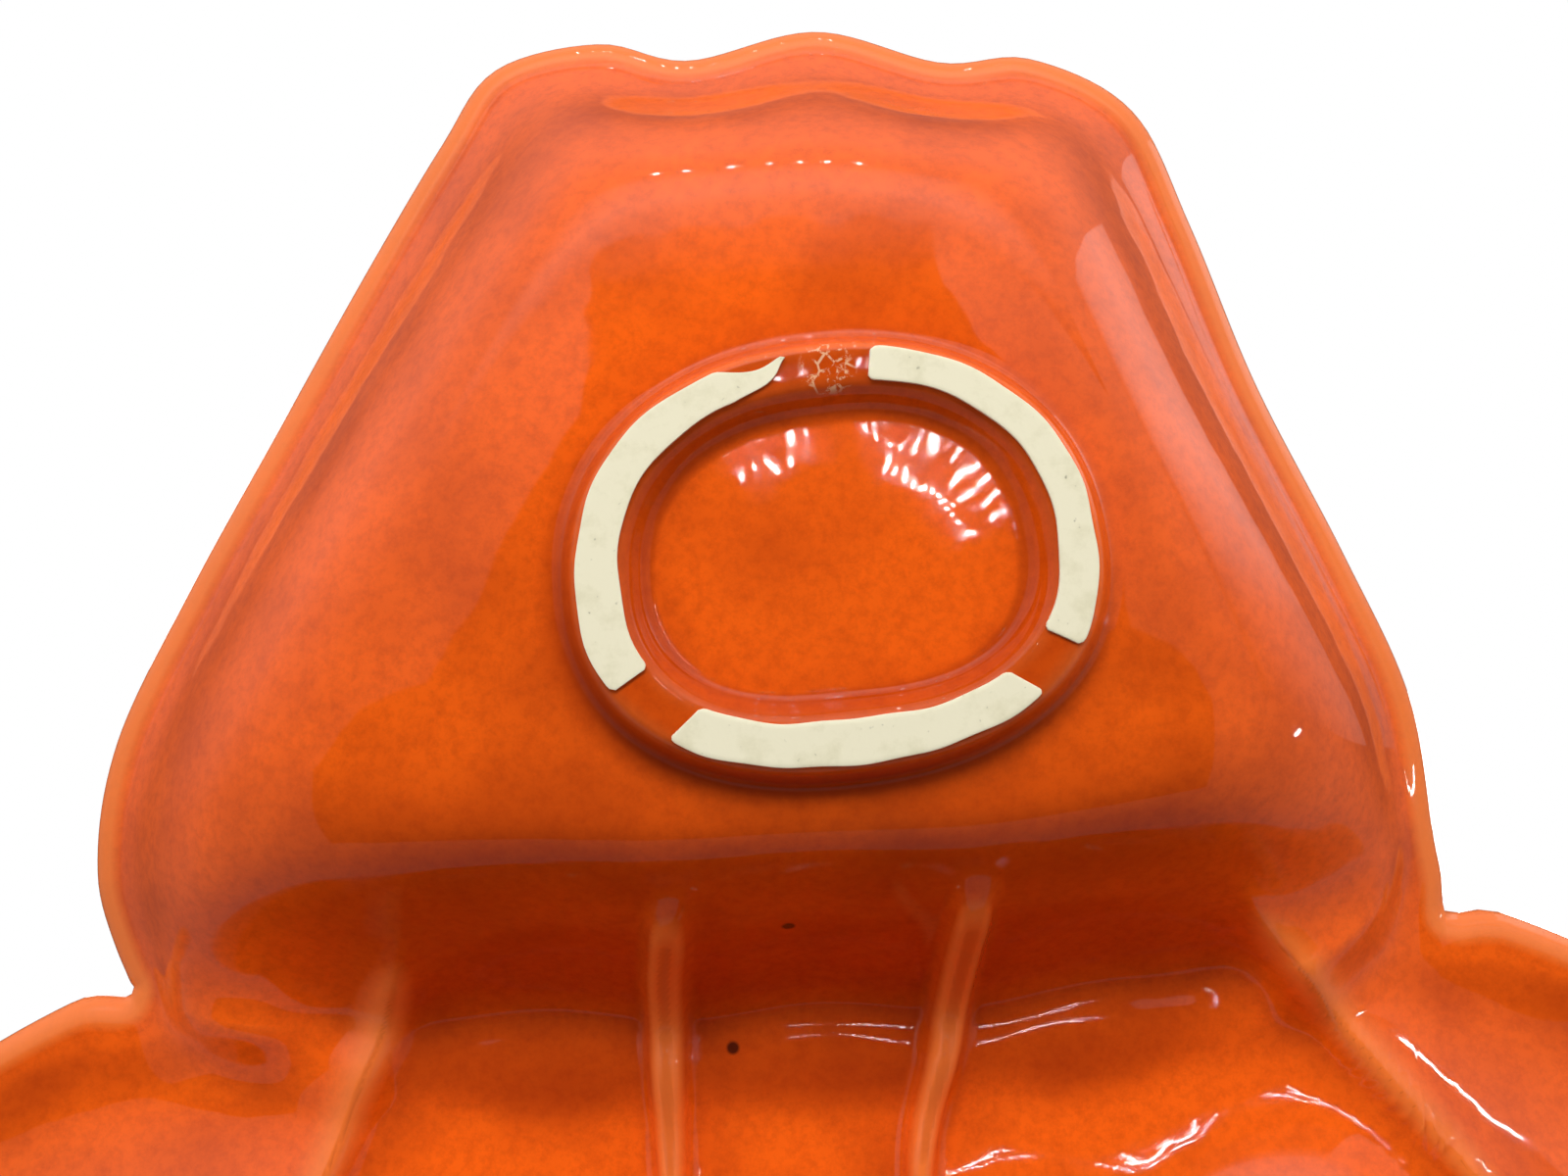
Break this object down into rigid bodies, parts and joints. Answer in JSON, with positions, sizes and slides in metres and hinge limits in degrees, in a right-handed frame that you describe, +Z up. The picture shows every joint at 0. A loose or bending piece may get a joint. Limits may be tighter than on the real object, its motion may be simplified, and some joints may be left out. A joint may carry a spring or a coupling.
{
  "type": "divided serving dish",
  "caption": "Shallow pumpkin-shaped serving dish with a stem-shaped dip well, a lobed chip tray behind a raised divider, and unglazed pads on its foot rings.",
  "frame": {"origin": "on the table under the middle of the dish", "axes": "+Z up with the dish standing on its foot pads, +Y from the tray towards the tip of the stem, +X to the right seen from above with the stem pointing away"},
  "size_m": [0.304, 0.3075, 0.041],
  "materials": {
    "glaze": "glossy orange glaze, darker where it pools and lighter on edges",
    "bare_clay": "matte unglazed cream clay, wiped dry before firing"
  },
  "bodies": {
    "root": {"dip_well": "glaze", "chip_tray": "glaze", "dip_foot_ring": "glaze", "tray_foot_ring": "glaze", "dip_dry_pad_1": "bare_clay", "dip_dry_pad_2": "bare_clay", "dip_dry_pad_3": "bare_clay", "tray_dry_pad_1": "bare_clay", "tray_dry_pad_2": "bare_clay", "tray_dry_pad_3": "bare_clay"}
  },
  "joints": []
}
